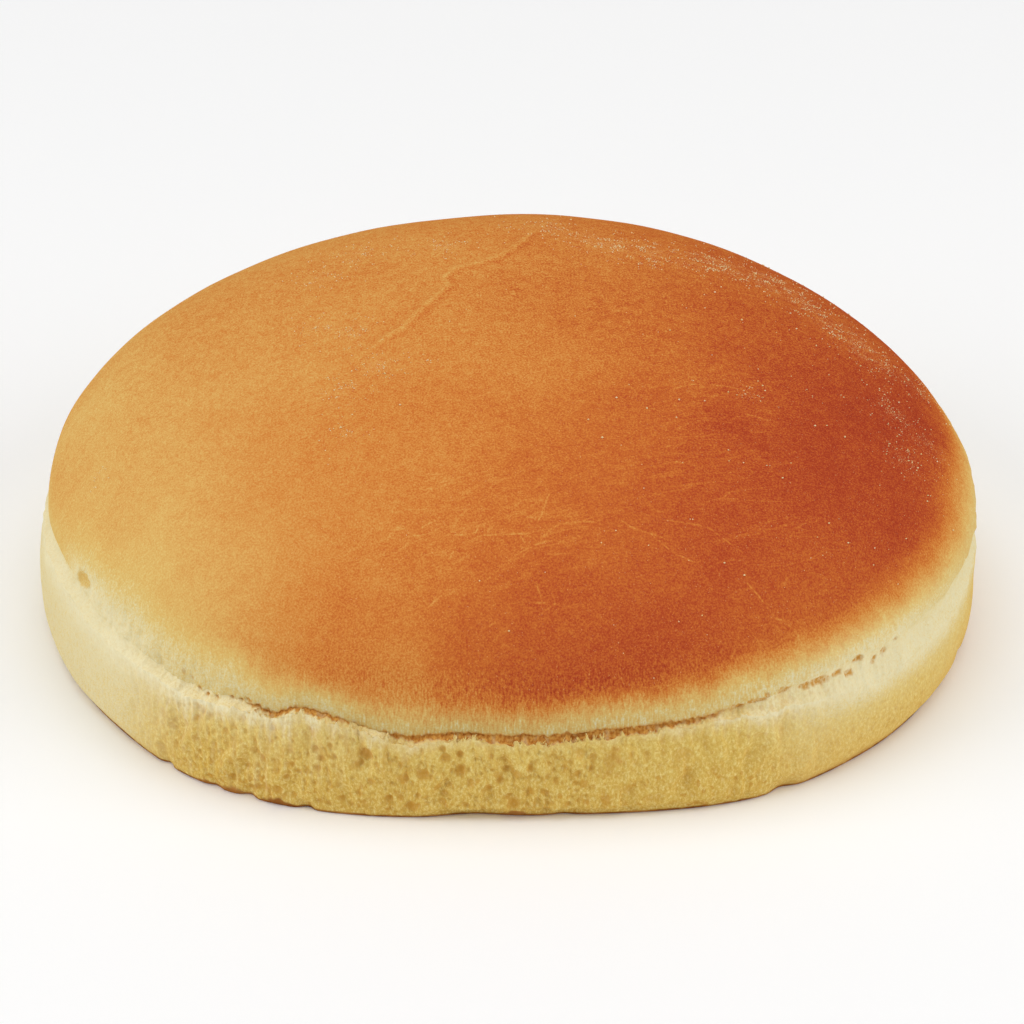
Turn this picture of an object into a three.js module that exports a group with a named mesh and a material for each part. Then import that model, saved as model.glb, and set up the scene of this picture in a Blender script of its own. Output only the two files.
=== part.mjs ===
// A round, soft wheat bun, the bread that a pan bagnat is made with: one solid with a flat base, a low
// side wall, a domed crust, and a flattened, torn side in front where it was pulled off the next bun on
// the tray. A crease runs all the way round between the wall and the crust. Along the torn side it opens
// into a ragged slit below the lip of the crust, and the wall under it is bare crumb.
//
// Millimetres, +Z up. The base rests on Z = 0, the origin is under the middle of the bun, and the torn
// side faces -Y.

import * as THREE from "three";
import { mergeVertices } from "three/addons/utils/BufferGeometryUtils.js";

const { degToRad, lerp, smoothstep, euclideanModulo } = THREE.MathUtils;

// Driving dimensions
const RADIUS = 72.5; // of the round part of the outline
const HEIGHT = 49.5; // from the base to the top of the dome
const FRONT = degToRad(-90); // direction of the torn side
const FLAT_DEPTH = 7.4; // how far the torn side stands in from the round outline
const FLAT_REACH = degToRad(31);

// Unevenness of the outline: waves round the bun, with the direction of one crest of each
const WAVES = [
  { crests: 2, size: 0.35, crest: degToRad(72) },
  { crests: 3, size: 0.75, crest: degToRad(-46) },
  { crests: 4, size: 0.6, crest: degToRad(-20) },
];

// The crease between wall and crust
const CREASE_HEIGHT = 15.2;
const CREASE_FRONT_RISE = 1.3; // higher in front than behind
const CREASE_SIDE_RISE = 2.1; // and higher at the left and right
const CREASE_DEPTH = 0.8; // where the skin is whole
const CREASE_MOUTH = 4;

// Where the crease wanders up or down along the torn side, by the angle from its middle
const CREASE_BUMPS = [
  { at: degToRad(-42), rise: -1, reach: degToRad(6) },
  { at: degToRad(-25), rise: 2, reach: degToRad(7) },
  { at: degToRad(-13), rise: -1.2, reach: degToRad(4) },
  { at: degToRad(4), rise: -1.3, reach: degToRad(8) },
  { at: degToRad(37), rise: 0.9, reach: degToRad(8) },
];

// The tear along the crease, by the angle from the middle of the torn side
const TEAR_MIDDLE = degToRad(-5);
const TEAR_REACH = degToRad(33);
const TEAR_FADE = degToRad(19);
const SLIT_DEPTH = 3.6;
const SLIT_MOUTH = 1.7;
const SLIT_RAGGEDNESS = 0.3;

// The wall
const BASE_INSET = 1.4; // how far the base's edge stands in where the skin is whole
const BASE_EDGE_HEIGHT = 3.5;
const TORN_BASE_INSET = 0.3;
const TORN_BASE_EDGE_HEIGHT = 1.2;
const BASE_NOTCH = 0.7; // flakes lost from the lower edge of the torn side
const CRUMB_RELIEF = 0.45; // height of the lumps in the bare crumb
const LUMPS_ROUND = 60; // lumps in a whole turn
const LUMPS_UP = 3; // half waves in the height of the wall

// The domed crust
const LIP_INSET = 0.9; // how far the lip of the crust stands in from the wall
const LIP_LEAN = 0.7; // less at +X and more at -X
const LIP_RINGS = 3; // rings of the dome over which the lip's unevenness dies out
const DOME_FULLNESS = 2.15; // 2 is an ellipse seen from above the rim, more is squarer
const DOME_STEEPNESS = 1.95; // 2 is an ellipse, less is more pointed
const PEAK_SHIFT = new THREE.Vector2(-5, 7.4); // of the highest point, from the axis

// Mesh sizes
const AROUND = 180;
const FRONT_CROWDING = 0.45; // share by which the steps round the bun are finer in front
const BASE_RINGS = [0.4, 0.75, 0.94];
const WALL_RINGS = [0.16, 0.32, 0.48, 0.64, 0.8, 0.92];
const DOME_RINGS = 16;

// Angle from the middle of the torn side, from -180 to 180 degrees.
function fromFront(angle) {
  return euclideanModulo(angle - FRONT + Math.PI, 2 * Math.PI) - Math.PI;
}

// A rounded hump of height 1 over zero that dies out beyond its reach.
function hump(distance, reach) {
  return Math.exp(-((distance / reach) ** 2));
}

// A fixed, uneven ripple from -1 to 1 along an angle.
function ripple(angle, turns) {
  return 0.6 * Math.sin(turns * angle) + 0.4 * Math.sin(1.73 * turns * angle + 1.3);
}

// 1 where the side is torn, 0 where the skin is whole.
function tornShare(angle) {
  const away = Math.abs(fromFront(angle) - TEAR_MIDDLE);
  return 1 - smoothstep(away, TEAR_REACH, TEAR_REACH + TEAR_FADE);
}

// Distance of the wavy outline from the axis, without the flattened side.
function roundRadius(angle) {
  return WAVES.reduce((sum, { crests, size, crest }) => sum + size * Math.cos(crests * (angle - crest)), RADIUS);
}

function outlineRadius(angle) {
  return roundRadius(angle) - FLAT_DEPTH * hump(fromFront(angle), FLAT_REACH);
}

// Height of the crease without its wandering.
function evenCrease(angle) {
  return CREASE_HEIGHT - CREASE_FRONT_RISE * Math.sin(angle) + CREASE_SIDE_RISE * Math.cos(2 * angle);
}

function creaseWander(angle) {
  const away = fromFront(angle);
  const bumps = CREASE_BUMPS.reduce((sum, { at, rise, reach }) => sum + rise * hump(away - at, reach), 0);
  return bumps + SLIT_RAGGEDNESS * tornShare(angle) * ripple(away, 31);
}

// Lumps and hollows of the bare crumb at a share of the wall's height, none at its lower and upper edge.
function crumbRelief(angle, share) {
  const away = fromFront(angle);
  const across = ripple(away + 0.02 * Math.sin(7 * share), LUMPS_ROUND);
  const upward = Math.sin(LUMPS_UP * Math.PI * share + 3 * ripple(away, LUMPS_ROUND / 4));
  return CRUMB_RELIEF * tornShare(angle) * Math.sin(Math.PI * share) * (across + across * upward);
}

// The outline of half a cut through the bun at an angle, from the middle of the base to the top.
// Each point has its distance from the axis, its height, and its share of the shift of the peak.
function section(angle) {
  const torn = tornShare(angle);
  const rim = outlineRadius(angle);
  const wander = creaseWander(angle);
  const crease = evenCrease(angle) + wander;
  const mouth = lerp(CREASE_MOUTH, SLIT_MOUTH, torn);
  const depth = lerp(CREASE_DEPTH, SLIT_DEPTH, torn);
  const notch = BASE_NOTCH * torn * Math.max(0, ripple(fromFront(angle), 23));
  const foot = rim - lerp(BASE_INSET, TORN_BASE_INSET, torn) - notch;
  const footHeight = lerp(BASE_EDGE_HEIGHT, TORN_BASE_EDGE_HEIGHT, torn);
  const points = [{ radius: 0, height: 0, shift: 0 }];

  for (const share of BASE_RINGS) points.push({ radius: foot * share, height: 0, shift: 0 });
  points.push({ radius: foot, height: 0, shift: 0 });

  const wallTop = crease - mouth / 2;
  for (const share of WALL_RINGS) {
    const height = wallTop * share;
    const tuck = (1 - smoothstep(height, 0, footHeight)) ** 2 * (rim - foot);
    points.push({ radius: rim - tuck + crumbRelief(angle, share), height, shift: 0 });
  }

  const lipInset = LIP_INSET - LIP_LEAN * Math.cos(angle);
  points.push({ radius: rim - 0.25 * depth * (1 - torn), height: wallTop, shift: 0 });
  points.push({ radius: rim - 0.6 * depth, height: crease - 0.3 * mouth, shift: 0 });
  points.push({ radius: rim - depth, height: crease, shift: 0 });
  points.push({ radius: rim - lipInset - 0.45 * depth * torn, height: crease + 0.3 * mouth, shift: 0 });

  const roundRim = roundRadius(angle);
  const lip = crease + mouth / 2;
  for (let ring = 0; ring <= DOME_RINGS; ring++) {
    const rise = (ring / DOME_RINGS) * (Math.PI / 2);
    const inward = ring === DOME_RINGS ? 0 : Math.cos(rise) ** (2 / DOME_FULLNESS);
    const upward = Math.sin(rise) ** (2 / DOME_STEEPNESS);
    const start = lip - wander * Math.min(1, ring / LIP_RINGS);
    points.push({
      radius: (lerp(roundRim, rim, inward) - lipInset) * inward,
      height: lerp(start, HEIGHT, upward),
      shift: 1 - inward,
    });
  }
  return points;
}

// A lathe of one section, reshaped so that each of its steps has the section of its own angle.
function bunGeometry() {
  const profile = section(FRONT).map(({ radius, height }) => new THREE.Vector2(radius, height));
  const geometry = new THREE.LatheGeometry(profile, AROUND);
  const position = geometry.getAttribute("position");
  for (let step = 0; step <= AROUND; step++) {
    const turn = (2 * Math.PI * (step % AROUND)) / AROUND;
    const angle = FRONT + turn - FRONT_CROWDING * Math.sin(turn);
    section(angle).forEach(({ radius, height, shift }, row) => {
      position.setXYZ(
        step * profile.length + row,
        radius * Math.cos(angle) + PEAK_SHIFT.x * shift,
        radius * Math.sin(angle) + PEAK_SHIFT.y * shift,
        height,
      );
    });
  }
  geometry.deleteAttribute("normal");
  geometry.deleteAttribute("uv");
  const closed = mergeVertices(geometry);
  closed.computeBoundingBox();
  const middle = closed.boundingBox.getCenter(new THREE.Vector3());
  closed.translate(-middle.x, -middle.y, 0);
  closed.computeVertexNormals();
  return closed;
}

const crust = new THREE.MeshStandardMaterial({ color: 0xd08038, roughness: 0.55, metalness: 0 });

const bun = new THREE.Mesh(bunGeometry(), crust);
bun.name = "bun";

const part = new THREE.Group();
part.add(bun);

export default part;
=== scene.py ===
"""A soft, round pan bagnat bun: browned dome, pale shell, and a torn side of bare crumb under a ragged slit.

The bun is one closed mesh of rings, from the middle of its base to the top of its dome. Sizes are in
millimetres and angles in degrees from the middle of the torn side, until the mesh is made in metres.
Four angles in a row say where something starts, is full, begins to fade and ends. A wave is one noise
in a sum of them: its share, offsets where it has them, and the length of its lumps.
"""

import math

import bpy
import numpy as np
from mathutils import Matrix, Vector, noise
from mathutils.bvhtree import BVHTree


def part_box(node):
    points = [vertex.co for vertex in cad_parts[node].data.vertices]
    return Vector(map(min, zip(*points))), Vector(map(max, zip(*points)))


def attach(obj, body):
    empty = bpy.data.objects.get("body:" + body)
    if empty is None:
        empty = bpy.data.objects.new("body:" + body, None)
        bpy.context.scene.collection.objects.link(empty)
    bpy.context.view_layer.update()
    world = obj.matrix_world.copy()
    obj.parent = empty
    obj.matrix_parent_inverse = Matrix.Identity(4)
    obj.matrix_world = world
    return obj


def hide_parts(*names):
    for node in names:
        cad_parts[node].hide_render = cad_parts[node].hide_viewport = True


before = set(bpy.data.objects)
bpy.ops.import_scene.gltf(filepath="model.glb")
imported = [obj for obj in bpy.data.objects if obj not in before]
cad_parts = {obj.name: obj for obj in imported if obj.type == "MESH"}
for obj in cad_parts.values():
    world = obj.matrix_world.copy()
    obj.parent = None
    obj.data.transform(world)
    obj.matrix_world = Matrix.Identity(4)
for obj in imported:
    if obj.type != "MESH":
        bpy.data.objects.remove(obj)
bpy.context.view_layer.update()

MM = 0.001

# The form of the bun, as its solid has it
RADIUS = 72.5
HEIGHT = 49.5
FLAT_DEPTH = 7.4
FLAT_REACH = 31
SIDE_WAVES = ((2, 0.35, 72), (3, 0.75, -46), (4, 0.6, -20))  # crests, size, direction of one crest from +X
CREASE_HEIGHT = 15.2
CREASE_FRONT_RISE = 1.3
CREASE_SIDE_RISE = 2.1
CREASE_DEPTH = 0.8
CREASE_MOUTH = 5
TEAR_MIDDLE = -5
TEAR_REACH = 33
TEAR_FADE = 19
BASE_INSETS = (1.4, 0.3)  # of the whole side and of the torn side
BASE_EDGE_HEIGHTS = (3.5, 1.2)
CRUMB_RELIEF = 0.45
LUMPS_ROUND = 60
LUMPS_UP = 3
LUMP_SWAY = 0.02
LUMP_SWAYS = 7
LUMP_STAGGER = 3
LIP_INSET = 0.9
LIP_LEAN = 0.7
DOME_FULLNESS = 2.15
DOME_STEEPNESS = 1.95
PEAK_SHIFT = (-5, 7.4)

# The crease: its ups and downs by angle, reach and rise, and where it is narrower or shallower
CREASE_BUMPS = (
    (-72, 10, 1.8), (-42, 6, -1), (-29.5, 2.6, -1.2), (-25.5, 5.5, 1.7), (-13, 4, -1.2), (4, 8, -0.9),
    (25, 4, 0.7), (37, 8, 0.9),
)
CREASE_LEFT = (25, 48, 110, 150)  # angles to the left where it is narrow
CREASE_NARROWING = 0.62
TORN_NARROWING = 0.6
CREASE_FLATS = ((-47, 11, 0.8), (40, 12, 0.5))  # angle, reach, and the share by which it is shallower
PUFF_WAVES = ((0.34, 4), (0.17, 1.5), (0.119, 0.7))  # soft lumps along the crease
PUFF_REACH = 4  # below the crest
SHELL_PUFFS = (1, 4.5)  # height above the lip where the shell's lumps are highest, and their reach
SHELL_PUFF_EDGE = (0.3, 2)
SMOOTH_LIP = (-20, 0)  # angles over which the lip of the slit gets smooth
LEFT_PUFFS = (34, 44, 58, 68)  # angles to the left where the shell is more wrinkled
LEFT_PUFF_GAIN = 1.2

# The slit: where it opens out of the crease at each end, and the height of its mouth by angle
SLIT_LEFT = (-37, -31)
SLIT_RIGHT = (24, 31)
SLIT_MOUTHS = (
    (-34, 0.3), (-31, 0.5), (-23.5, 0.6), (-22, 0.15), (-16.8, 0.15), (-15.5, 0.9), (-8, 0.92), (-4, 0.75),
    (-2.2, 0.55), (0.3, 0.7), (2, 1.15), (6, 1.25), (10, 1.25), (13, 1.15), (16, 1), (20, 0.9), (24, 0.7),
    (27, 0.5),
)
MOUTH_WAVES = ((0.35, 9.1, 0.2, 2.5),)
SLIT_STARTS = (  # angle, and the share of the way from the crest to the lip at which the slit turns brown
    (-34, 0.75), (-29, 0.3), (-23, 0.3), (-19.5, 0.75), (-16.5, 0.85), (-14.5, 0.4), (-11, 0.3), (-8, 0.12),
    (-3, 0.2), (1, 0.05), (4, 0.08), (7.5, 0.1), (12.5, 0.02), (17.5, 0.12), (20, 0.2), (23, 0.3), (26, 0.45),
    (30, 0.75),
)
START_WAVES = ((0.25, 0.5, 8.8, 0.9), (0.175, 7.3, 1.8, 0.4))
START_FADE = 0.15
LATE_STARTS = (0.6, 0.9)  # where the slit starts so late, the lip above it isn't brown
SLIT_DEPTH = 0.55
DEPTH_WAVES = ((0.35, 5.8, 3.6, 2.5),)
NARROW_MOUTHS = (0.3, 1.1)
NARROW_DEPTH = 0.5
SLIT_DIP = 0.5  # how far the slit goes down behind its crest
SLIT_ROUNDINGS = (2, 0.8)  # of the crease and of the slit
SLIT_NOISE_HEIGHT = 10  # that the noise of its strands and crossings takes it to have
STRAND_RELIEF = 0.13
STRAND_NOISE = (4.4, (0.8, 5, 1))  # offset and size
CROSSING_NOISE = (6.1, (0.9, 4, 1))
CROSSING_PALENESS = 0.3
LIP_SLIT = 0.8
LIP_TEAR = ((0.35, (0.6, 0.6, 1.5)),)
LIP_TEAR_HEIGHT = 0.4
CRACKS = (  # where the slit breaks up at its ends: angle, height above the crease, half the width and height
    (-42.3, 2.1, 0.25, 0.25), (-41.2, 1.7, 0.35, 0.35), (-39.8, 0.8, 0.4, 0.35), (-38.4, 0.2, 0.35, 0.3),
    (-37.2, 0.1, 0.3, 0.3), (-35.2, 0.6, 0.4, 0.3), (-33.9, 0.75, 0.3, 0.22), (-32.9, 0.75, 0.55, 0.3),
    (-31.6, 0.5, 0.45, 0.35), (-30.4, 0.2, 0.5, 0.35), (28.4, 0.8, 1.1, 0.5), (30.7, 1.1, 1.5, 0.5),
    (32, 1.6, 0.5, 0.45), (34.4, 1.3, 1.1, 0.6), (37.2, 0.8, 1.1, 0.5), (39.2, 0.8, 1.8, 0.75),
    (41.7, 1.1, 1.0, 0.5), (43.6, 0.3, 0.9, 0.5), (44.9, 2.1, 0.9, 0.65), (47.8, 0.4, 0.45, 0.9),
    (49.2, 1.2, 0.5, 0.8), (51, 2.3, 0.5, 0.45),
)
CRACK_DEPTH = 0.3
CRACK_EDGE = (0.02, 0.2)
TAN_NOISE = (9.4, 0.7)  # tan flecks in the crease at the right
TAN_ANGLES = (0, 20)
TAN_TONE = 0.45

# The torn crumb: pores by count, least and most radius, stretch near the top, and depth per radius
PORES = ((1300, 0.14, 0.32, 3.2, 0.9), (380, 0.3, 0.6, 1.7, 0.7), (34, 0.65, 1.1, 1.3, 0.45))
PORE_SEED = 7
PORE_HEIGHTS = (0.12, 0.92)  # shares of the crest's height
PORE_LOWNESS = 1.35
PORE_WARPS = ((0.2, 1.0), (0.08, 0.4))  # waves of their outlines
PORE_WARP_OFFSET = 40
PORE_FADE = (2, 24)  # angles over which the pores get shallower to the right
PORE_FADED = 0.4
PORE_SHADE_DEPTH = 0.45  # depth at which a pore has its full painted shade
EDGE_RISE = 0.8  # over which relief starts at the base and ends at the crest
FIBRE_RELIEF = 0.26
FIBRE_NOISE = (2.2, (0.75, 4.5, 1))
FIBRE_GAIN = 1.5  # at the left
FIBRE_GAIN_ANGLES = (-20, -5)
FLUFF_RELIEF = 0.16
FLUFF_NOISE = (7.7, 0.55)
LEAST_FLUFF = 0.35
STREAK_NOISE = (0.4, (0.5, 5, 1))
SKIN_WAVES = ((0.16, 9), (0.05, 2.6))
VALLEY_SHADE = 0.6
VALLEY_SHARES = (0.2, 0.6)  # of the wall's height, between which the valleys of the fibres begin to show
VALLEY_FADE = (36, 48)  # angles to the left over which they fade
VALLEY_FADED = 0.6
FRINGES = (  # angle, reach below the crest and strength of the pale fringe
    (-75, 4, 0.6), (-58, 3.5, 0.6), (-45, 3, 1), (-28, 2.6, 1), (-18, 1.6, 0.8), (-10, 1.2, 0.4),
    (2, 0.8, 0.2), (16, 0.9, 0.25), (28, 1.8, 0.9), (38, 2.1, 0.7), (55, 2.3, 0.35), (75, 2.3, 0.2),
    (110, 4, 0.6),
)
FRINGE_PATCHES = ((1, 3.9, 6.6, 2.2),)
FRINGE_GAPS = (0.45, 0.8)  # strength between the patches, in front and at the left
FRINGE_GAP_ANGLES = (22, 36)
FRINGE_RAGGEDNESS = (0.7, 0.3)  # by streaks and fluff
COLUMNED = (12, 28, 52, 70)  # angles to the left where the crumb has pale columns
COLUMN_REACH = 6
COLUMN_PALENESS = 0.22
CREST_WAVES = ((0.6, 1.7, 4.1, 2.6), (0.36, 5.3, 0.9, 1.0))
LIP_WAVES = ((0.25, 2.9, 8.3, 1.2), (0.35, 4.7, 2.6, 0.5))
TUFT_HEIGHT = 2.2  # of the spikes on the crest
TUFT_WAVES = ((1, 6.2, 1.4, 0.45),)
TUFT_PATCHES = ((1, 2.4, 7.9, 2.0),)
WHOLE_TUFTS = 0.4  # share of their height beside the slit
SPOTS = ((13.4, 12, 0.45), (13.8, 9.8, 0.5))  # orange spots by angle, height, reach
SPOT_TONE = 0.7

# Loose fibres on the crest of the torn side
FIBRES = 650
FIBRE_SEED = 11
FIBRE_LENGTHS = (0.45, 1.3)
FIBRE_SHORTNESS = 2.5
FIBRE_RADII = (0.1, 0.24)
FIBRE_FLATNESS = 0.45
FIBRE_LEAN = (0, 0.4)  # mean and spread, along the crest
FIBRE_TILT = (-0.15, 0.3)  # outward
FIBRE_BEND = (0, 0.12)
FIBRE_DEPTHS = (0.1, 0.4)  # behind the crest's face
FIBRE_ROOT = 0.4  # below the crest
FIBRE_CLUSTERS = ((1, 0.6, 2.1, 2.4),)
FIBRE_SIDES = 4
FIBRE_SECTIONS = ((0, 1), (0.5, 0.75))  # share of the length, and width
FIBRE_PALENESS = (0, 0.45)

# The base's edge: nicks by angle, reach and depth, and brown scraps of base crust by angle, reach and height
NICKS = (
    (-45, 0.8, 0.7), (-37.5, 0.9, 0.5), (-33, 1.0, 0.9), (-25.5, 0.9, 0.8), (7, 1.5, 0.4), (35, 1.6, 0.9),
    (-5, 4.5, 0.9), (8, 24, 1.2), (62, 22, 0.9), (71, 1.3, 0.8),
)
NICK_START = 0.88
NICK_TOPS = (6.6, 2.2)  # of the whole side and of the torn side
SCRAPS = ((-38.7, 1.2, 0.5), (-35, 1.5, 0.7), (-28.8, 1.4, 1.3), (0.8, 1.7, 0.9))
SCRAP_NOISE = (3.1, 0.9)
SCRAP_RAGGEDNESS = 0.6
BASE_EDGE = 0.35
DIMPLE_DEPTH = 0.2
DIMPLE_SIZE = 7
DIMPLE_REACH = 0.9  # share of the base's radius

# A small hole in the shell at the left: angle, height, half its width and height, depth
DENT = (-63.7, 20.3, 1.7, 1.15, 0.7)
DENT_EDGE = (0, 0.3)
DENT_TONE = 0.13

# The left side, by angles to the left: crust that reaches down to the crease, and a bulging wall below it
LEFT_CRUST = (62, 72, 115, 145)
LEFT_CRUST_SWELL = 0.1
LEFT_BULGE = (74, 86, 125, 150)
LEFT_BELLY = (0.4, 8, 5)  # size, height, reach
LEFT_TAPER = (0.9, 10, 17)  # size, and the heights between which it grows

# Browning of the wall from 0, pale, to 1, darkest: its angles, then its tones elsewhere and at the left
LEFT_WALL = (40, 60, 100, 170)
RIGHT_WALL = (0, 60, 100, 170)
FAR_RIGHT = (60, 80, 100, 140)
FOOT_TONES = (0.15, 0.03)
CREST_TONES = (0.04, 0.02)
EDGE_TONES = (0.12, 0.06)
RIGHT_TONE = 0.08
FAR_RIGHT_TONE = 0.06
SKIN_YELLOWS = (0.3, 0.6, 0.14)  # share of the crumb's yellow in the whole skin behind, at the right and left
PALE_RIGHT = (52, 72, 100, 140)
PALE_RIGHT_SHARE = 0.5

# Browning of the dome at the middle, and its change to the right, partly painted shade, and to the front,
# painted shade
TONE_MIDDLE = 0.637
TONE_RIGHT_AND_SHADE = 0.0049
TONE_BEND = 0.00002
TONE_FRONT_SHADE = 0.001
TONE_FRONT_RIGHT_SHADE = 0.00002
TONE_WAVES = ((0.05, 17), (0.03, 6))
TONE_PATCHES = (  # place, reach, more browning
    (-8, -42, 20, 0.05), (45, -50, 14, -0.15), (-20, 55, 22, 0.06), (28, -40, 15, 0.04), (12, -54, 12, -0.01),
    (10, -20, 13, -0.08), (16, -20, 5, 0.05), (-40, 14, 16, 0.06), (-58, -30, 13, -0.05), (63, -28, 12, -0.1),
    (31, -25, 4, 0.1), (-34, -52, 10, -0.05), (-27, -54, 8, 0.06), (4, -54, 6, 0.08), (33, -50, 7, 0.05),
    (61, 8, 14, -0.09), (42, 16, 14, -0.06), (67, -18, 8, -0.13), (-10, -33, 7, -0.06), (-66, 0, 7, -0.08),
    (34, -58, 8, -0.05), (66, -30, 7, -0.04), (-5, -58, 8, 0.02), (-15, -64.5, 5.5, -0.17),
    (-54, -43, 9, -0.14), (-46.5, -52.5, 6, -0.09), (25, -63, 6, -0.06), (34, -60.5, 6, -0.07),
    (42, -55, 6, -0.07), (52, -47.5, 8, -0.06), (57, -42, 7, -0.06),
)
TONE_RIM = 0.11  # more browning above the pale shell in front
RIM_HEIGHTS = (10, 7)  # middle and reach, above the lip
RIM_ANGLES = (-2, 32)
SHELL_FADES = (  # angle, and the heights above the lip at which the shell's browning starts and is full
    (-180, 1, 12), (-140, 0.5, 10), (-110, 0, 7), (-95, 0, 5), (-78, 0, 6.5), (-69, 0, 9), (-60, 0.6, 11),
    (-44, 3, 10.5), (-36, 3, 9.8), (-27, 0.9, 6.4), (-20, 0.4, 6.4), (-4, 0, 6.5), (14, 0.8, 7.8),
    (21, 1, 7.6), (28, 1.6, 8.6), (36, 1.2, 7.8), (42, 0.6, 8), (50, 0.6, 9.1), (62, -0.3, 11.4),
    (75, 1.3, 13.3), (90, 2, 14), (120, 1, 12.5), (180, 1, 12),
)
FADE_WAVES = ((0.9, 5), (0.6, (0.8, 0.8, 5)))
LIP_TONE = 0.03
LIP_HUMPS = ((3, 34, 0.175), (-42, 14, 0.05))  # angle, reach, more browning
LIP_RIGHT = ((10, 60, 0.03), (52, 75, 0.16))  # angles between which the lip gets browner to the right
LIP_RIGHT_END = (100, 140)
LIP_LEFT_CRUST = 0.2
LIP_SHADE_FRONT = ((-6, 36, 0.8),)  # angle, reach and share of the painted shade on the shell above the slit, where it turns under
LIP_SHADE_RIGHT = (45, 65, 100, 140)
LIP_SHADE_RIGHT_SHARE = 0.25
LIP_SHADE_HEIGHT = 3.2
SHELL_FRINGE = 0.55
SHELL_FRINGE_HEIGHT = 5
SHELL_FRINGE_GAP = ((75, 32, 0.85),)
STREAKED = ((-50, 0.25), (-28, 0.4), (-12, 1), (12, 1), (30, 0.7), (50, 0.25))  # angle and strength
STREAK_HEIGHTS = (7, 12)

# Marks on the dome, by place from the axis: the fold line and scratches, then patches with their reach
FOLD_LINE = (
    (7, 40), (3.2, 29), (0.5, 22), (-3, 17.5), (-9, 13.5), (-10.3, 10), (-9.5, 7.7), (-12, 2.6), (-16, -5),
    (-24, -13.5), (-33, -19),
)
FOLD_REACH = 0.7
FOLD_RELIEF = 0.27
FOLD_START = (-42, -28)  # distances to the front between which it starts
FOLD_FADE = (4, 18)
FOLD_FADED = 0.75
SCRATCHES = (
    ((-8, -48.3), (-5, -48.1), (-4.5, -47.3)), ((-4.5, -48.4), (2, -48.1)), ((-7.6, -49.7), (-8.6, -51.5)),
    ((3.4, -47.3), (4.5, -45.5), (5.5, -42.3)), ((0, -51.6), (2.2, -50.3), (5.5, -48.9)),
    ((5.3, -47.8), (7, -46.6), (9.3, -46.2), (12.9, -46)), ((5.4, -50.8), (7.1, -50.9)),
    ((3.7, -54.4), (4.6, -56.3)), ((3.4, -56.5), (6.5, -56.6)), ((4.1, -57.6), (5.7, -57)),
    ((-2.6, -58.6), (-1.2, -58.4)), ((-11, -56.4), (-9.3, -55.6)),
    ((-14.6, -49.2), (-12.7, -47), (-10, -45.7)), ((15.8, -45.4), (17.8, -46.6), (21.7, -47.3)),
    ((22.6, -44.7), (28.4, -44.8), (33.2, -47.5)), ((20.4, -47.2), (23.4, -49.3), (26.7, -50.2)),
    ((33.3, -50.8), (35.7, -52.4), (37.8, -53.9), (40, -53.7), (41.6, -54.5)),
    ((22.7, -34.8), (24, -34.5), (27.2, -34.9)), ((24.4, -18.7), (27, -17), (31.6, -16), (34.8, -16)),
    ((34.5, -21.9), (38.8, -22.2)),
)
SCRATCH_LAYERS = 3  # so that scratches close to each other are in different layers
MARK_REACH = (1.8, 2.6)
MARK_END = 0.7
DUSTED = (
    (6, 34, 4), (13, 30, 4), (16, 26, 4), (21, 25, 4), (26, 25, 4.5), (31, 27, 4), (35, 26, 4.5),
    (39, 28, 4.5), (42, 24.5, 4.5), (46, 22, 4), (49.5, 16, 4.5), (53, 11, 4.5), (56.5, 7, 4),
    (58, -8, 3.5), (63.5, 7, 3), (63, -12, 3), (59, -20, 2.5), (36, -16.5, 1.5), (-28.6, -3, 2.5),
    (-23, -5, 2.5), (-19.5, -15, 2.5), (-13.2, -15.3, 1.3), (-24.3, -20, 2.2), (-24, -30, 1.8),
    (-10.4, 23.7, 3), (-28.8, 15.6, 3), (-24.4, 24, 3.5), (-61, -20.5, 1),
)
WRINKLED = ((2, -46, 14), (33, -20, 12), (28, -37, 9), (40, -44, 10), (-14, -46, 8))
DOME_WAVES = ((0.4, 24), (0.1, 8))
DOME_WAVE_RISE = 12

# Grains of flour on the dome: how many are tried in the dusted patches and elsewhere, and their radii
DUST_GRAINS = 10000
DUST_RADII = (0.045, 0.13)
DUST_CROWDING = 1.2
DUST_CLUSTERS = 1.8
DUST_EDGES = (-0.2, 0.6)
SINGLE_GRAINS = 900
SINGLE_RADII = (0.06, 0.18)
SINGLE_TONES = (0.55, 0.95)  # browning between which they begin to show
GRAIN_SEED = 5
GRAIN_SPREAD = (0.7, 1.3)
GRAIN_PALENESS = (0.4, 1)

# Mesh sizes
FRONT_STEP = 0.17  # degrees between columns on the torn side
BACK_STEP = 2
FINE_MIDDLE = -8
FINE_REACH = 57
FINE_FADE = 35
WALL_ROWS = 60
SLIT_ROWS = 16
SHELL_ROWS = 12
SHELL_CROWDING = 1.6
SHELL_RISE = 10  # degrees of the dome's arc that keep the wall's columns
EVEN_RISE = 16  # from which the lip's ups and downs are gone
DOME_STEP = 1.3
DOME_COLUMNS = 360
MOST_HALVINGS = 4
BASE_COLUMNS = 222
BASE_SHARES = (0.08, 0.2, 0.35, 0.5, 0.64, 0.76, 0.86, 0.93, 0.97)

TONES = (
    "browning", "crumb", "fringe", "slit", "crack", "dull", "pore_shade", "base", "flour", "wrinkle", "streak",
    *(f"{kind}_{layer}" for kind in ("aside", "marked") for layer in range(SCRATCH_LAYERS + 1)),
)


# Small helpers for values along the bun

def lerp(start, end, share):
    return start + (end - start) * share


def smooth(value, start, end):
    """0 up to start, 1 from end, and a soft step between."""
    share = np.clip((value - start) / (end - start), 0, 1)
    return share * share * (3 - 2 * share)


def window(value, start, full, last, end):
    """1 from full to last, and 0 before start and after end."""
    return smooth(value, start, full) * (1 - smooth(value, last, end))


def hump(distance, reach):
    """A rounded hump of height 1 that dies out beyond its reach."""
    return np.exp(-((distance / reach) ** 2))


def humps(away, rows):
    """A sum of humps, each with its angle, reach and size."""
    return sum(size * hump(away - at, reach) for at, reach, size in rows)


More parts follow.
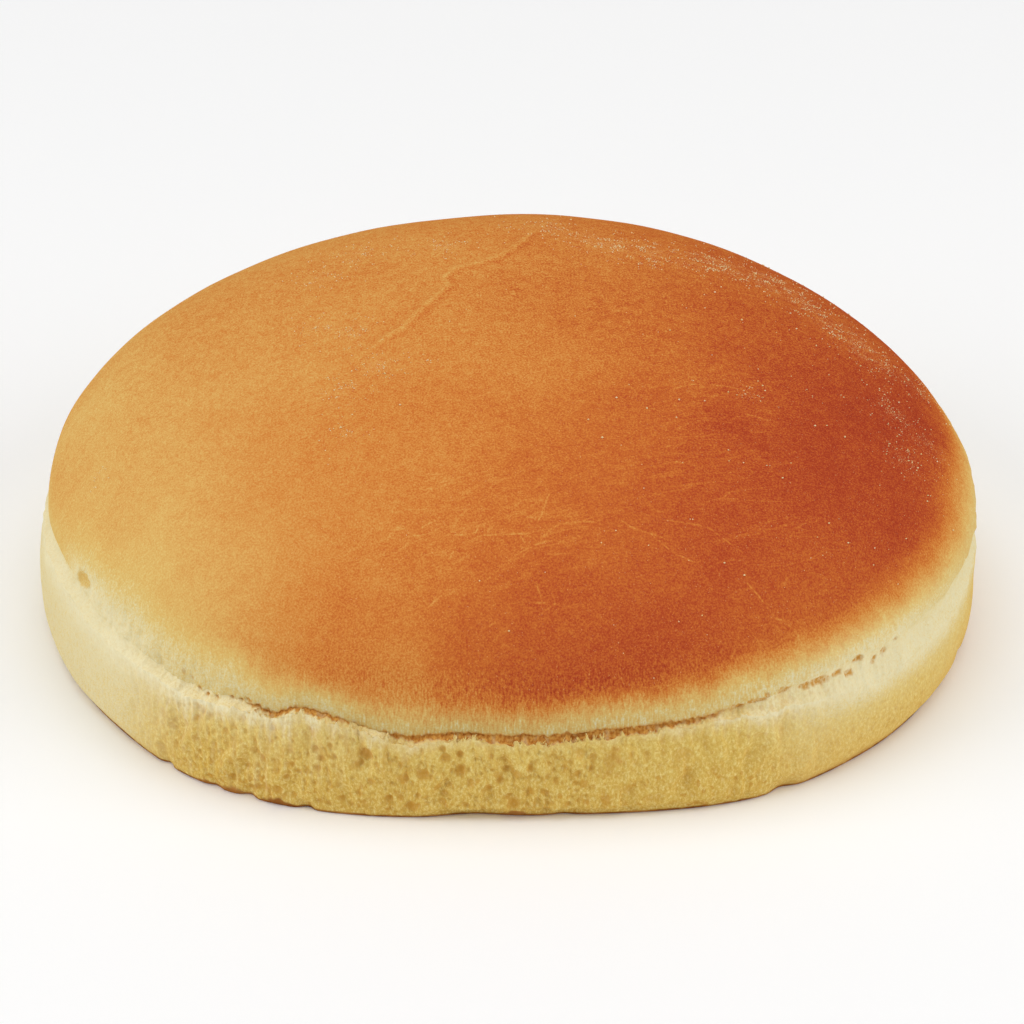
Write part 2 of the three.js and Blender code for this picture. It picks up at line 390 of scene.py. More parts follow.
def by_angle(away, rows, column=1):
    """A column's value at an angle, between rows that start with their angle."""
    columns = list(zip(*rows))
    return np.interp(away, columns[0], columns[column])


def ripple(away, turns):
    """A fixed, uneven ripple from -1 to 1 along an angle, as the solid has it."""
    angle = np.radians(away)
    return 0.6 * np.sin(turns * angle) + 0.4 * np.sin(1.73 * turns * angle + 1.3)


def stacked(*coordinates):
    return np.stack(np.broadcast_arrays(*coordinates), axis=-1)


def noise_at(points, size):
    """Smooth noise from -1 to 1 at points, in lumps of a size that may differ along x, y and z."""
    places = np.asarray(points) / np.asarray(size)
    values = [noise.noise(place) for place in places.reshape(-1, 3).tolist()]
    return np.array(values).reshape(places.shape[:-1])


def rough(points, waves):
    return sum(share * noise_at(points, size) for share, size in waves)


def along_wall(away):
    """Distance along the torn side, in millimetres."""
    return (RADIUS - FLAT_DEPTH) * np.radians(away)


def along_noise(away, waves):
    """A sum of noises along the torn side, each with its share, two offsets and length."""
    along = along_wall(away)
    return sum(share * noise_at(stacked(along, *offsets), length) for share, *offsets, length in waves)


def wall_noise(away, height, offset, size):
    return noise_at(stacked(along_wall(away), height, offset), size)


# The plain form of the bun

def torn_share(away):
    """1 where the side is torn, 0 where the skin is whole."""
    return 1 - smooth(np.abs(away - TEAR_MIDDLE), TEAR_REACH, TEAR_REACH + TEAR_FADE)


def open_share(away):
    """1 where the slit is open, 0 where the crease is whole."""
    return smooth(away, *SLIT_LEFT) * (1 - smooth(away, *SLIT_RIGHT))


def round_radius(away):
    waves = sum(size * np.cos(np.radians(crests * (away - 90 - crest))) for crests, size, crest in SIDE_WAVES)
    return RADIUS + waves


def outline_radius(away):
    return round_radius(away) - FLAT_DEPTH * hump(away, FLAT_REACH)


def even_crease(away):
    angle = np.radians(away - 90)
    return CREASE_HEIGHT - CREASE_FRONT_RISE * np.sin(angle) + CREASE_SIDE_RISE * np.cos(2 * angle)


def crease_height(away):
    return even_crease(away) + humps(away, CREASE_BUMPS)


def lip_inset(away):
    return LIP_INSET - LIP_LEAN * np.sin(np.radians(away)) - LEFT_CRUST_SWELL * window(-away, *LEFT_CRUST)


def slit_mouth(away):
    return by_angle(away, SLIT_MOUTHS) * (1 + along_noise(away, MOUTH_WAVES))


def mouth_height(away):
    whole = CREASE_MOUTH * (1 - TORN_NARROWING * torn_share(away))
    whole = whole * (1 - CREASE_NARROWING * window(-away, *CREASE_LEFT))
    return lerp(whole, slit_mouth(away), open_share(away))


def crest_height(away):
    """Height of the wall's upper edge, ragged where it is torn and with spiky tufts along the slit."""
    tufts = np.clip(along_noise(away, TUFT_WAVES), 0, 1) * smooth(along_noise(away, TUFT_PATCHES), -0.3, 0.3)
    tufts = TUFT_HEIGHT * tufts * lerp(WHOLE_TUFTS, 1, open_share(away))
    edge = crease_height(away) - mouth_height(away) / 2
    return edge + torn_share(away) * (along_noise(away, CREST_WAVES) + tufts)


def lip_height(away):
    """Height of the lower edge of the shell."""
    return crease_height(away) + mouth_height(away) / 2 + torn_share(away) * along_noise(away, LIP_WAVES)


def base_inset(away):
    return lerp(*BASE_INSETS, torn_share(away))


def foot_radius(away):
    """Distance of the base's edge from the axis."""
    return outline_radius(away) - base_inset(away) - humps(away, NICKS)


# Rings of points, each with its angles, its points and the tones that the material reads

def ring(away, radius, height, shift=0.0, **tones):
    direction = np.radians(away - 90)
    x = radius * np.cos(direction) + PEAK_SHIFT[0] * shift
    y = radius * np.sin(direction) + PEAK_SHIFT[1] * shift
    return {"away": away, "points": stacked(x, y, height), **tones}


def ring_rows(away, radius, height, tones):
    """A ring for each row of radii and heights."""
    return [
        ring(away, radius[row], height[row], **{name: tone[row] for name, tone in tones.items()})
        for row in range(len(radius))
    ]


def radii(one_ring):
    return np.hypot(*one_ring["points"][:, :2].T)


def even_columns(count):
    return np.arange(count) * 360 / count - 180


def wall_columns():
    """Angles of the wall's columns, close together on the torn side and wide apart behind."""
    angles = np.linspace(-180, 180, 7201)
    coarse = smooth(np.abs(angles - FINE_MIDDLE), FINE_REACH, FINE_REACH + FINE_FADE)
    step = lerp(FRONT_STEP, BACK_STEP, coarse)
    count = np.concatenate([[0], np.cumsum(np.diff(angles) / step[1:])])
    total = int(count[-1])
    return np.interp(np.arange(total) * count[-1] / total, count, angles)


def base_rings():
    away = even_columns(BASE_COLUMNS)
    foot = foot_radius(away)
    rings = []
    for share in BASE_SHARES:
        plain = ring(away, foot * share, 0.0)
        dimples = np.clip(noise_at(plain["points"], DIMPLE_SIZE) + 0.1, 0, 1)
        dimples = DIMPLE_DEPTH * dimples * (1 - smooth(share, DIMPLE_REACH, 1))
        rings.append(ring(away, foot * share, dimples, base=1.0))
    return rings


def carved(away, height, holes):
    """Depth of uneven bowls in the wall, each with its angle, height, half width, half height and depth."""
    along = np.broadcast_to(along_wall(away), height.shape)
    place = stacked(along, height, 5.5)
    warped_along = along + rough(place, PORE_WARPS)
    warped_height = height + rough(place + PORE_WARP_OFFSET, PORE_WARPS)
    depth = np.zeros(height.shape)
    for at, middle, wide, tall, deep in holes:
        reach = math.degrees((wide + PORE_WARPS[0][0]) / (RADIUS - FLAT_DEPTH))
        block = np.s_[:, np.searchsorted(away, at - reach):np.searchsorted(away, at + reach)]
        aside = (warped_along[block] - along_wall(at)) / wide
        above = (warped_height[block] - middle) / tall
        bowl = deep * np.sqrt(np.clip(1 - aside ** 2 - above ** 2, 0, 1))
        depth[block] = np.maximum(depth[block], bowl)
    return depth


def pores():
    """Pores of the torn crumb, tall and narrow near its crest."""
    random = np.random.default_rng(PORE_SEED)
    reach = TEAR_REACH + TEAR_FADE
    holes = []
    for count, least, most, stretch, hollow in PORES:
        at = random.uniform(TEAR_MIDDLE - reach, TEAR_MIDDLE + reach, count)
        share = lerp(*PORE_HEIGHTS, random.random(count) ** PORE_LOWNESS)
        wide = lerp(least, most, random.random(count) ** 2)
        tall = wide * lerp(1, stretch, share * random.random(count))
        deep = hollow * wide * torn_share(at) * lerp(1, PORE_FADED, smooth(at, *PORE_FADE))
        holes += zip(at, share * crest_height(at), wide, tall, deep)
    return holes


def cracks():
    """Short cracks in the skin where the slit breaks up at its ends."""
    return [(at, crease_height(at) + rise, wide, tall, CRACK_DEPTH) for at, rise, wide, tall in CRACKS]


def puffs(points):
    """Soft lumps of the pale skin along the crease."""
    return rough(points, PUFF_WAVES)


def crumb_relief(away, share):
    """Lumps and hollows of the bare crumb, as the solid has them."""
    across = ripple(away + np.degrees(LUMP_SWAY * np.sin(LUMP_SWAYS * share)), LUMPS_ROUND)
    upward = np.sin(LUMPS_UP * np.pi * share + LUMP_STAGGER * ripple(away, LUMPS_ROUND / 4))
    return CRUMB_RELIEF * torn_share(away) * np.sin(np.pi * share) * (across + across * upward)


def base_tuck(away, height):
    """How far the wall is drawn in at the base's edge, and further in its nicks."""
    torn = torn_share(away)
    edge = base_inset(away) * (1 - smooth(height, 0, lerp(*BASE_EDGE_HEIGHTS, torn))) ** 2
    return edge + humps(away, NICKS) * (1 - smooth(height, NICK_START, lerp(*NICK_TOPS, torn)))


def left_bulge(away, height):
    """How far the wall at the left stands out below and tapers above."""
    belly, middle, reach = LEFT_BELLY
    taper, start, end = LEFT_TAPER
    bulge = belly * hump(height - middle, reach) - taper * smooth(height, start, end)
    return window(-away, *LEFT_BULGE) * bulge


def fringe_strength(away):
    """Strength of the pale fringe, in patches along the torn side."""
    patchy = smooth(along_noise(away, FRINGE_PATCHES), -0.3, 0.35)
    least = lerp(*FRINGE_GAPS, smooth(-away, *FRINGE_GAP_ANGLES))
    return by_angle(away, FRINGES, 2) * lerp(1, lerp(least, 1, patchy), torn_share(away))


def wall_fringe(away, height, below, fluff):
    """The pale fringe below the crest, and the pale columns of crumb at the left."""
    streaks = wall_noise(away, height, *STREAK_NOISE)
    by_streaks, by_fluff = FRINGE_RAGGEDNESS
    uneven = np.clip(1 + by_streaks * torn_share(away) * streaks + by_fluff * fluff, 0.5, 2)
    fringe = fringe_strength(away) * hump(below * uneven, by_angle(away, FRINGES))
    columns = COLUMN_PALENESS * window(-away, *COLUMNED) * hump(below * (1 + streaks), COLUMN_REACH)
    return np.maximum(fringe, columns)


def wall_browning(away, share, height):
    """How the whole skin of the wall is baked: most near the base, and least at the left."""
    left = window(-away, *LEFT_WALL)
    browning = lerp(lerp(*FOOT_TONES, left), lerp(*CREST_TONES, left), smooth(share, 0.1, 0.8))
    browning = browning + RIGHT_TONE * window(away, *RIGHT_WALL) * (1 - smooth(share, 0.55, 1))
    browning = browning + FAR_RIGHT_TONE * window(away, *FAR_RIGHT)
    return browning + lerp(*EDGE_TONES, left) * (1 - torn_share(away)) * (1 - smooth(height, 0.2, 2.2))


def wall_crumb(away, below, fibres):
    """1 on bare crumb, and elsewhere the share of its yellow in the skin."""
    bare = torn_share(away) * lerp(smooth(below + 0.5 * fibres, 0, 1), 1, open_share(away))
    behind, right, left = SKIN_YELLOWS
    skin = lerp(lerp(behind, right, window(away, *RIGHT_WALL)), left, window(-away, *LEFT_WALL))
    skin = skin * lerp(1, PALE_RIGHT_SHARE, window(away, *PALE_RIGHT)) * smooth(below, 0.5, 5)
    return np.maximum(bare, skin)


def brown_base(away, height):
    """1 on the brown crust of the base's edge and its scraps, 0 above."""
    top = (BASE_EDGE + humps(away, SCRAPS)) * (1 + SCRAP_RAGGEDNESS * wall_noise(away, height, *SCRAP_NOISE))
    return 1 - smooth(height, 0.6 * top, 1.2 * top + 0.05)


def spot_share(away, height):
    along = along_wall(away)
    return sum(hump(np.hypot(along - along_wall(at), height - middle), reach) for at, middle, reach in SPOTS)


def wall_rings(away):
    """The wall from the base's edge to its ragged crest, with the torn crumb's pores and fibres."""
    share = np.linspace(0, 1, WALL_ROWS + 1)[:, None]
    crest = crest_height(away)
    height = share * crest
    below = crest - height
    torn = torn_share(away)
    rim = outline_radius(away)
    plain = ring(away, rim, height)["points"]
    fibres = wall_noise(away, height, *FIBRE_NOISE) * lerp(FIBRE_GAIN, 1, smooth(away, *FIBRE_GAIN_ANGLES))
    fluff = wall_noise(away, height, *FLUFF_NOISE)
    fringe = wall_fringe(away, height, below, fluff)
    holes = carved(away, height, pores())

    radius = rim - base_tuck(away, height) + crumb_relief(away, share) + left_bulge(away, height)
    radius = radius + hump(below, PUFF_REACH) * puffs(plain) * (1 - open_share(away))
    relief = FIBRE_RELIEF * fibres + FLUFF_RELIEF * fluff * lerp(LEAST_FLUFF, 1, fringe)
    relief = torn * relief + rough(plain, SKIN_WAVES) * (1 - 0.5 * torn) - holes * smooth(below, 0, EDGE_RISE)
    radius = radius + smooth(height, 0, EDGE_RISE) * relief

    # Painted shade in the pores, by their depth, and in the valleys between the fibres
    valleys = np.clip(-fibres - 0.1, 0, 1) * smooth(share, *VALLEY_SHARES)
    valleys = valleys * (1 - VALLEY_FADED * smooth(-away, *VALLEY_FADE))
    return ring_rows(away, radius, height, {
        "browning": wall_browning(away, share, height),
        "crumb": wall_crumb(away, below, fibres),
        "fringe": fringe,
        "crack": SPOT_TONE * spot_share(away, height),
        "pore_shade": np.clip(holes / PORE_SHADE_DEPTH + VALLEY_SHADE * valleys, 0, 1),
        "base": brown_base(away, height),
    })


def slit_depth(away):
    """Depth of the soft crease, or of the slit where it is open."""
    crease = CREASE_DEPTH * (1 - humps(away, CREASE_FLATS))
    slit = SLIT_DEPTH * lerp(NARROW_DEPTH, 1, smooth(slit_mouth(away), *NARROW_MOUTHS))
    return lerp(crease, slit * (1 + along_noise(away, DEPTH_WAVES)), open_share(away))


def slit_rings(crest, lip):
    """The slit between the wall's crest and the shell's lip, or the soft crease where the skin is whole."""
    away = crest["away"]
    opened = open_share(away)
    share = np.linspace(0, 1, SLIT_ROWS + 1)[1:-1, None]
    inside = np.sin(np.pi * share)
    height = lerp(crest["points"][:, 2], lip["points"][:, 2], (1 - np.cos(np.pi * share)) / 2)
    height = height - SLIT_DIP * opened * inside * (1 - share)
    holes = carved(away, height, cracks())
    strands = wall_noise(away, SLIT_NOISE_HEIGHT * share, *STRAND_NOISE)

    radius = lerp(radii(crest), radii(lip), smooth(share, 0, 1))
    radius = radius - slit_depth(away) * inside ** lerp(*SLIT_ROUNDINGS, opened)
    radius = radius - holes * smooth(share, 0, 0.2) + STRAND_RELIEF * opened * inside * strands
    radius = radius + (1 - opened) * inside * puffs(ring(away, radii(crest), height)["points"])

    torn = torn_share(away)
    start = by_angle(away, SLIT_STARTS) + along_noise(away, START_WAVES)
    brown = smooth(share, start, start + START_FADE)
    crossing = smooth(wall_noise(away, SLIT_NOISE_HEIGHT * share, *CROSSING_NOISE), 0.15, 0.4)
    edge_fringe = lerp(1 - 0.2 * share, 1 - smooth(share, start - 0.1, start + START_FADE), opened)
    tan = smooth(wall_noise(away, height, *TAN_NOISE), 0.12, 0.3) * inside * torn * (1 - opened)
    return ring_rows(away, radius, height, {
        "slit": opened * brown * (1 - CROSSING_PALENESS * crossing),
        "crack": np.maximum(smooth(holes, *CRACK_EDGE), TAN_TONE * tan * smooth(away, *TAN_ANGLES)),
        "crumb": lerp(torn * (1 - smooth(share, 0.5, 1)), 1 - brown, opened),
        "fringe": fringe_strength(away) * edge_fringe,
        "browning": lerp(LIP_TONE, lip_tone(away), smooth(share, 0.4, 1)),
        "dull": dull_share(away) * smooth(share, 0.5, 1),
    })


def dome_profile(away, rise):
    """Distance from the axis, height and share of the peak's shift of the dome's plain form."""
    inward = np.cos(np.radians(rise)) ** (2 / DOME_FULLNESS) if rise < 90 else 0.0
    upward = np.sin(np.radians(rise)) ** (2 / DOME_STEEPNESS)
    radius = (lerp(round_radius(away), outline_radius(away), inward) - lip_inset(away)) * inward
    even_lip = even_crease(away) + CREASE_MOUTH / 4
    start = lerp(lip_height(away), even_lip, smooth(rise, 0, EVEN_RISE))
    return radius, lerp(start, HEIGHT, upward), 1 - inward


def beside_lines(points, lines):
    """How far points are to one side of the nearest line seen from above, and 1 near the line, else 0."""
    nearest = np.full(len(points), np.inf)
    aside = np.zeros(len(points))
    marked = np.zeros(len(points))
    for line in lines:
        for start, end in zip(np.array(line[:-1], float), np.array(line[1:], float)):
            length = np.hypot(*(end - start))
            onward = (end - start) / length
            offset = points[:, :2] - start
            before = -offset @ onward
            after = np.clip(-before - length, 0, None)
            before = np.clip(before, 0, None)
            across = offset[:, 0] * onward[1] - offset[:, 1] * onward[0]
            gap = np.hypot(across, np.maximum(before, after))
            past_end = np.maximum(before * (start == line[0]).all(), after * (end == line[-1]).all())
            mark = (1 - smooth(gap, *MARK_REACH)) * (1 - smooth(past_end, 0, MARK_END))
            closer = gap < nearest
            nearest = np.where(closer, gap, nearest)
            aside = np.where(closer, np.copysign(gap, across), aside)
            marked = np.where(closer, mark, marked)
    return aside, marked


def dome_marks(points):
    """The fold line in layer 0 and the scratches in the others: distance aside, and strength."""
    layers = [[FOLD_LINE], *(SCRATCHES[layer::SCRATCH_LAYERS] for layer in range(SCRATCH_LAYERS))]
    marks = {}
    for layer, lines in enumerate(layers):
        marks[f"aside_{layer}"], marks[f"marked_{layer}"] = beside_lines(points, lines)
    front = -points[:, 1]
    marks["marked_0"] *= smooth(front, *FOLD_START) * (1 - FOLD_FADED * smooth(front, *FOLD_FADE))
    return marks


def patch(points, x, y, reach):
    return hump(np.hypot(points[:, 0] - x, points[:, 1] - y), reach)


def patches(points, places):
    return np.clip(sum(patch(points, *place) for place in places), 0, 1)


def dome_tone(points):
    """How dark the crust is baked, by place, before it pales towards the lip, with painted shade to the right
    and in front.
    """
    x = points[:, 0]
    front = -points[:, 1]
    # Painted shade: darker to the right, partly, and on the steep front, where less light falls
    tone = TONE_MIDDLE + TONE_RIGHT_AND_SHADE * x + TONE_BEND * x ** 2
    tone = tone + TONE_FRONT_SHADE * front + TONE_FRONT_RIGHT_SHADE * front * x
    tone = tone + sum(more * patch(points, *place) for *place, more in TONE_PATCHES)
    return tone + rough(points, TONE_WAVES)


def lip_tone(away):
    """Browning of the shell at its lip, most in the middle of the torn side."""
    right = sum(more * smooth(away, start, end) for start, end, more in LIP_RIGHT)
    right = right * (1 - smooth(away, *LIP_RIGHT_END))
    return LIP_TONE + humps(away, LIP_HUMPS) + right + LIP_LEFT_CRUST * window(-away, *LEFT_CRUST)


def dull_share(away):
    """How much painted shade darkens the shell just above the slit, and above the crease at the right."""
    return humps(away, LIP_SHADE_FRONT) + LIP_SHADE_RIGHT_SHARE * window(away, *LIP_SHADE_RIGHT)


def shell_holes(away, height, rise, holes):
    """Depth of holes in the shell, which only the lowest rings of the dome have."""
    if rise > SHELL_RISE:
        return np.zeros(len(away))
    return carved(away, height[None], holes)[0]


def shell_puffs(away, plain, above):
    """Soft lumps of the shell above the crease, and at the left also above the slit."""
    opened = open_share(away)
    puffed = lerp(1 - opened, smooth(above, *SHELL_PUFF_EDGE), opened * (1 - smooth(away, *SMOOTH_LIP)))
    puffed = puffed * (1 + LEFT_PUFF_GAIN * window(-away, *LEFT_PUFFS)) * (1 - window(-away, *LEFT_CRUST))
    middle, reach = SHELL_PUFFS
    return hump(above - middle, reach) * puffs(plain) * puffed


def shell_browning(away, plain, above):
    """Browning from the pale shell at the lip up to the baked dome and its painted shade."""
    uneven = above + rough(plain, FADE_WAVES)
    fade = smooth(uneven, by_angle(away, SHELL_FADES, 1), by_angle(away, SHELL_FADES, 2))
    rim_height, rim_reach = RIM_HEIGHTS
    rim_angle, rim_width = RIM_ANGLES
    rim = TONE_RIM * hump(above - rim_height, rim_reach) * hump(away - rim_angle, rim_width)
    return lerp(lip_tone(away), dome_tone(plain) + rim, fade)


def shell_fringe(away, above):
    """The pale skin above the whole crease."""
    whole = (1 - torn_share(away)) * (1 - window(-away, *LEFT_CRUST)) * (1 - humps(away, SHELL_FRINGE_GAP))
    return SHELL_FRINGE * (1 - smooth(above, 0, SHELL_FRINGE_HEIGHT)) * whole


def lip_slit(away, plain, above):
    """The brown of the slit on the torn edge of the lip."""
    late = smooth(by_angle(away, SLIT_STARTS), *LATE_STARTS)
    torn_edge = 1 - smooth(above + rough(plain, LIP_TEAR), 0, LIP_TEAR_HEIGHT)
    return LIP_SLIT * open_share(away) * torn_edge * (1 - late)


def dome_ring(away, rise):
    radius, height, shift = dome_profile(away, rise)
    plain = ring(away, radius, height, shift)["points"]
    above = height - lip_height(away)
    marks = dome_marks(plain)
    holes = shell_holes(away, height, rise, cracks())
    dent = shell_holes(away, height, rise, [DENT])
    dented = smooth(dent, *DENT_EDGE)
    fold = FOLD_RELIEF * hump(marks["aside_0"], FOLD_REACH) * marks["marked_0"]
    relief = (rough(plain, DOME_WAVES) + fold) * smooth(rise, 0, DOME_WAVE_RISE)
    relief = relief + shell_puffs(away, plain, above) - holes - dent
    lean = math.radians(rise)
    return ring(
        away, radius + relief * math.cos(lean), height + relief * math.sin(lean), shift,
        browning=shell_browning(away, plain, above) + DENT_TONE * dented,
        fringe=shell_fringe(away, above) * (1 - dented),
        slit=lip_slit(away, plain, above),
        crack=smooth(holes, *CRACK_EDGE),
        dull=dull_share(away) * hump(above, LIP_SHADE_HEIGHT),
        flour=patches(plain, DUSTED),
        wrinkle=patches(plain, WRINKLED),
        streak=by_angle(away, STREAKED) * (1 - smooth(above, *STREAK_HEIGHTS)),
        **marks,
    )


def dome_rings(away):
    """The pale shell on the wall's columns, then the dome, with fewer columns as its rings get smaller."""
    rings = [dome_ring(away, rise) for rise in SHELL_RISE * np.linspace(0, 1, SHELL_ROWS) ** SHELL_CROWDING]
    rises = np.linspace(SHELL_RISE, 90, 400)
    profile = np.array([dome_profile(np.array([180.0]), rise)[:2] for rise in rises])[:, :, 0]
    length = np.concatenate([[0], np.cumsum(np.linalg.norm(np.diff(profile, axis=0), axis=1))])
    for at in np.arange(DOME_STEP, length[-1] - DOME_STEP / 2, DOME_STEP):
        rise = np.interp(at, length, rises)
        radius = np.interp(at, length, profile[:, 0])
        halvings = max(0, math.floor(math.log2(RADIUS / (radius + 1))))
        rings.append(dome_ring(even_columns(DOME_COLUMNS >> min(halvings, MOST_HALVINGS)), rise))
    return rings


# The meshes

def add_object(name, data):
    thing = bpy.data.objects.new(name, data)
    bpy.context.scene.collection.objects.link(thing)
    return thing


def make_mesh(name, points, faces, tones):
    """A mesh with a layer for each of the tones that the material reads."""
    mesh = bpy.data.meshes.new(name)
    mesh.from_pydata(points, [], faces)
    for tone, values in tones.items():
        layer = mesh.attributes.new(tone, "FLOAT", "POINT")
        layer.data.foreach_set("value", values.astype(np.float32))
    return mesh


def strip(lower, upper, lower_first, upper_first):
    """Triangles between two closed rings of any number of points."""
    lower_away = np.append(lower, lower[0] + 360)
    upper_away = np.append(upper, upper[0] + 360)
    low = 0
    up = 0
    faces = []
    while low < len(lower) or up < len(upper):
        low_corner = lower_first + low % len(lower)
        up_corner = upper_first + up % len(upper)
        low_is_next = up == len(upper) or (low < len(lower) and lower_away[low + 1] <= upper_away[up + 1])
        if low_is_next:
            low += 1
            faces.append((low_corner, lower_first + low % len(lower), up_corner))
        else:
            up += 1
            faces.append((low_corner, upper_first + up % len(upper), up_corner))
    return faces


def fan(centre, count, first, upward):
    corners = [(first + step, first + (step + 1) % count) for step in range(count)]
    return [(a, b, centre) if upward else (b, a, centre) for a, b in corners]


def bun_mesh(rings, name):
    """One closed mesh through all rings, with a point in the middle of the base and one at the top."""
    bottom = {"away": np.zeros(1), "points": np.zeros((1, 3)), "base": 1.0}
    peak = dome_ring(np.zeros(1), 90)
    rings = [bottom, *rings, peak]
    firsts = np.cumsum([0] + [len(each["away"]) for each in rings]).tolist()
    faces = fan(0, len(rings[1]["away"]), 1, upward=False)
    for index in range(1, len(rings) - 2):
        faces += strip(rings[index]["away"], rings[index + 1]["away"], firsts[index], firsts[index + 1])
    faces += fan(firsts[-2], len(rings[-2]["away"]), firsts[-3], upward=True)
    tones = {
        tone: np.concatenate([np.broadcast_to(each.get(tone, 0.0), each["away"].shape) for each in rings])
        for tone in TONES
    }
    mesh = make_mesh(name, np.concatenate([each["points"] for each in rings]).tolist(), faces, tones)
    mesh.shade_smooth()
    return mesh


def fibre_mesh(crest, name):
    """Loose fibres that stand on the crest of the torn side, each a bent, flat and tapered strand."""
    random = np.random.default_rng(FIBRE_SEED)
    at = random.uniform(SLIT_LEFT[0], SLIT_RIGHT[1], FIBRES)
    lean = random.normal(*FIBRE_LEAN, FIBRES)
    tilt = random.normal(*FIBRE_TILT, FIBRES)
    length = lerp(*FIBRE_LENGTHS, random.random(FIBRES) ** FIBRE_SHORTNESS)
    length = length * lerp(0.4, 1, smooth(slit_mouth(at), 0.4, 1))
    length = length * lerp(0.3, 1, smooth(along_noise(at, FIBRE_CLUSTERS), -0.25, 0.3))
    thick = random.uniform(*FIBRE_RADII, FIBRES)
    bend = random.normal(*FIBRE_BEND, FIBRES)
    direction = np.radians(at - 90)
    outward = stacked(np.cos(direction), np.sin(direction), 0.0)
    sideways = stacked(-np.sin(direction), np.cos(direction), 0.0)
    upward = np.array((0.0, 0.0, 1.0))
    root_radius = np.interp(at, crest["away"], radii(crest)) - random.uniform(*FIBRE_DEPTHS, FIBRES)
    root_height = np.interp(at, crest["away"], crest["points"][:, 2]) - FIBRE_ROOT
    root = ring(at, root_radius, root_height)["points"]
    along = upward + lean[:, None] * sideways + tilt[:, None] * outward

    points = []
    for share, width in FIBRE_SECTIONS:
        middle = root + share * length[:, None] * along + (share > 0) * (bend * length)[:, None] * sideways
        for side in range(FIBRE_SIDES):
            angle = 2 * math.pi * side / FIBRE_SIDES
            round_it = math.cos(angle) * sideways - FIBRE_FLATNESS * math.sin(angle) * outward
            points.append(middle + width * thick[:, None] * round_it)
    points.append(root + length[:, None] * along)
    corners = len(points)
    sides = [(side, (side + 1) % FIBRE_SIDES) for side in range(FIBRE_SIDES)]
    strand = [tuple(range(FIBRE_SIDES))[::-1]]
    strand += [(a, b, FIBRE_SIDES + b, FIBRE_SIDES + a) for a, b in sides]
    strand += [(FIBRE_SIDES + a, FIBRE_SIDES + b, corners - 1) for a, b in sides]
    firsts = range(0, FIBRES * corners, corners)
    faces = [tuple(first + corner for corner in face) for first in firsts for face in strand]
    paleness = np.repeat(random.uniform(*FIBRE_PALENESS, FIBRES), corners)
    tones = {"crumb": np.ones(FIBRES * corners), "fringe": paleness}
    mesh = make_mesh(name, np.stack(points, axis=1).reshape(-1, 3).tolist(), faces, tones)
    mesh.shade_smooth()
    return mesh


def grain_places(random):
    """Places and radii of flour grains: crowded where it is dusted, and single on dark crust."""
    dusted = np.array(DUSTED, float)
    reach = dusted[:, 2]
    crowding = reach ** DUST_CROWDING
    chosen = random.choice(len(DUSTED), DUST_GRAINS, p=crowding / np.sum(crowding))
    crowded = dusted[chosen, :2] + random.normal(0, 1, (DUST_GRAINS, 2)) * reach[chosen, None]
    clusters = noise_at(stacked(*crowded.T, 3.3), DUST_CLUSTERS)
    crowded = crowded[random.random(DUST_GRAINS) < smooth(clusters, *DUST_EDGES)]
    single = random.uniform(-RADIUS, RADIUS, (SINGLE_GRAINS, 2))
    dark = smooth(dome_tone(stacked(*single.T, 40.0)), *SINGLE_TONES)
    single = single[random.random(SINGLE_GRAINS) < dark]
    sizes = [
        lerp(*limits, random.random(len(places)) ** 2)
        for limits, places in ((DUST_RADII, crowded), (SINGLE_RADII, single))
    ]
    return np.concatenate([crowded, single]), np.concatenate(sizes)


def grain_mesh(bun, name):
    """Grains of flour that lie on the dome, each an uneven eight-sided crumb."""
    random = np.random.default_rng(GRAIN_SEED)
    places = [corner.co for corner in bun.vertices]
    surface = BVHTree.FromPolygons(places, [face.vertices for face in bun.polygons])
    corners = np.concatenate([np.eye(3), -np.eye(3)])
    sides = [(0, 1, 2), (1, 3, 2), (3, 4, 2), (4, 0, 2), (1, 0, 5), (3, 1, 5), (4, 3, 5), (0, 4, 5)]
    points = []
    faces = []
    for (x, y), radius in zip(*grain_places(random)):
        spot, normal, *_ = surface.ray_cast((x, y, 2 * HEIGHT), (0, 0, -1))
        if spot is not None and spot.z > CREASE_HEIGHT + CREASE_MOUTH:
            middle = np.array(spot) + 0.5 * radius * np.array(normal)
            faces += [tuple(len(points) + corner for corner in side) for side in sides]
            points += (middle + radius * random.uniform(*GRAIN_SPREAD, (6, 1)) * corners).tolist()
    paleness = np.repeat(random.uniform(*GRAIN_PALENESS, len(points) // 6), 6)
    return make_mesh(name, points, faces, {"crumb": np.ones(len(points)), "fringe": paleness})


def make_pieces():
    """The bun, its loose fibres and its flour, moved from millimetres round the axis to the frame's place."""
    away = wall_columns()
    wall = wall_rings(away)
    dome = dome_rings(away)
    rings = base_rings() + wall + slit_rings(wall[-1], dome[0]) + dome
    bun = bun_mesh(rings, "bun_bread")
    meshes = (bun, fibre_mesh(wall[-1], "crumb_fibres"), grain_mesh(bun, "flour_grains"))
    outline = ring(even_columns(3600), outline_radius(even_columns(3600)), 0.0)["points"]
    low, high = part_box("bun")
    middle = (low + high) / 2
    shift = Vector((middle.x, middle.y, 0)) - Vector((outline.min(axis=0) + outline.max(axis=0)) / 2) * MM
    bread = bread_material()
    pieces = {}
    for mesh in meshes:
        mesh.transform(Matrix.Translation(shift) @ Matrix.Scale(MM, 4))
        mesh.materials.append(bread)
        piece = add_object(mesh.name, mesh)
        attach(piece, "root")
        pieces[mesh.name] = piece
    return pieces


# Materials, with colours as seen on a screen

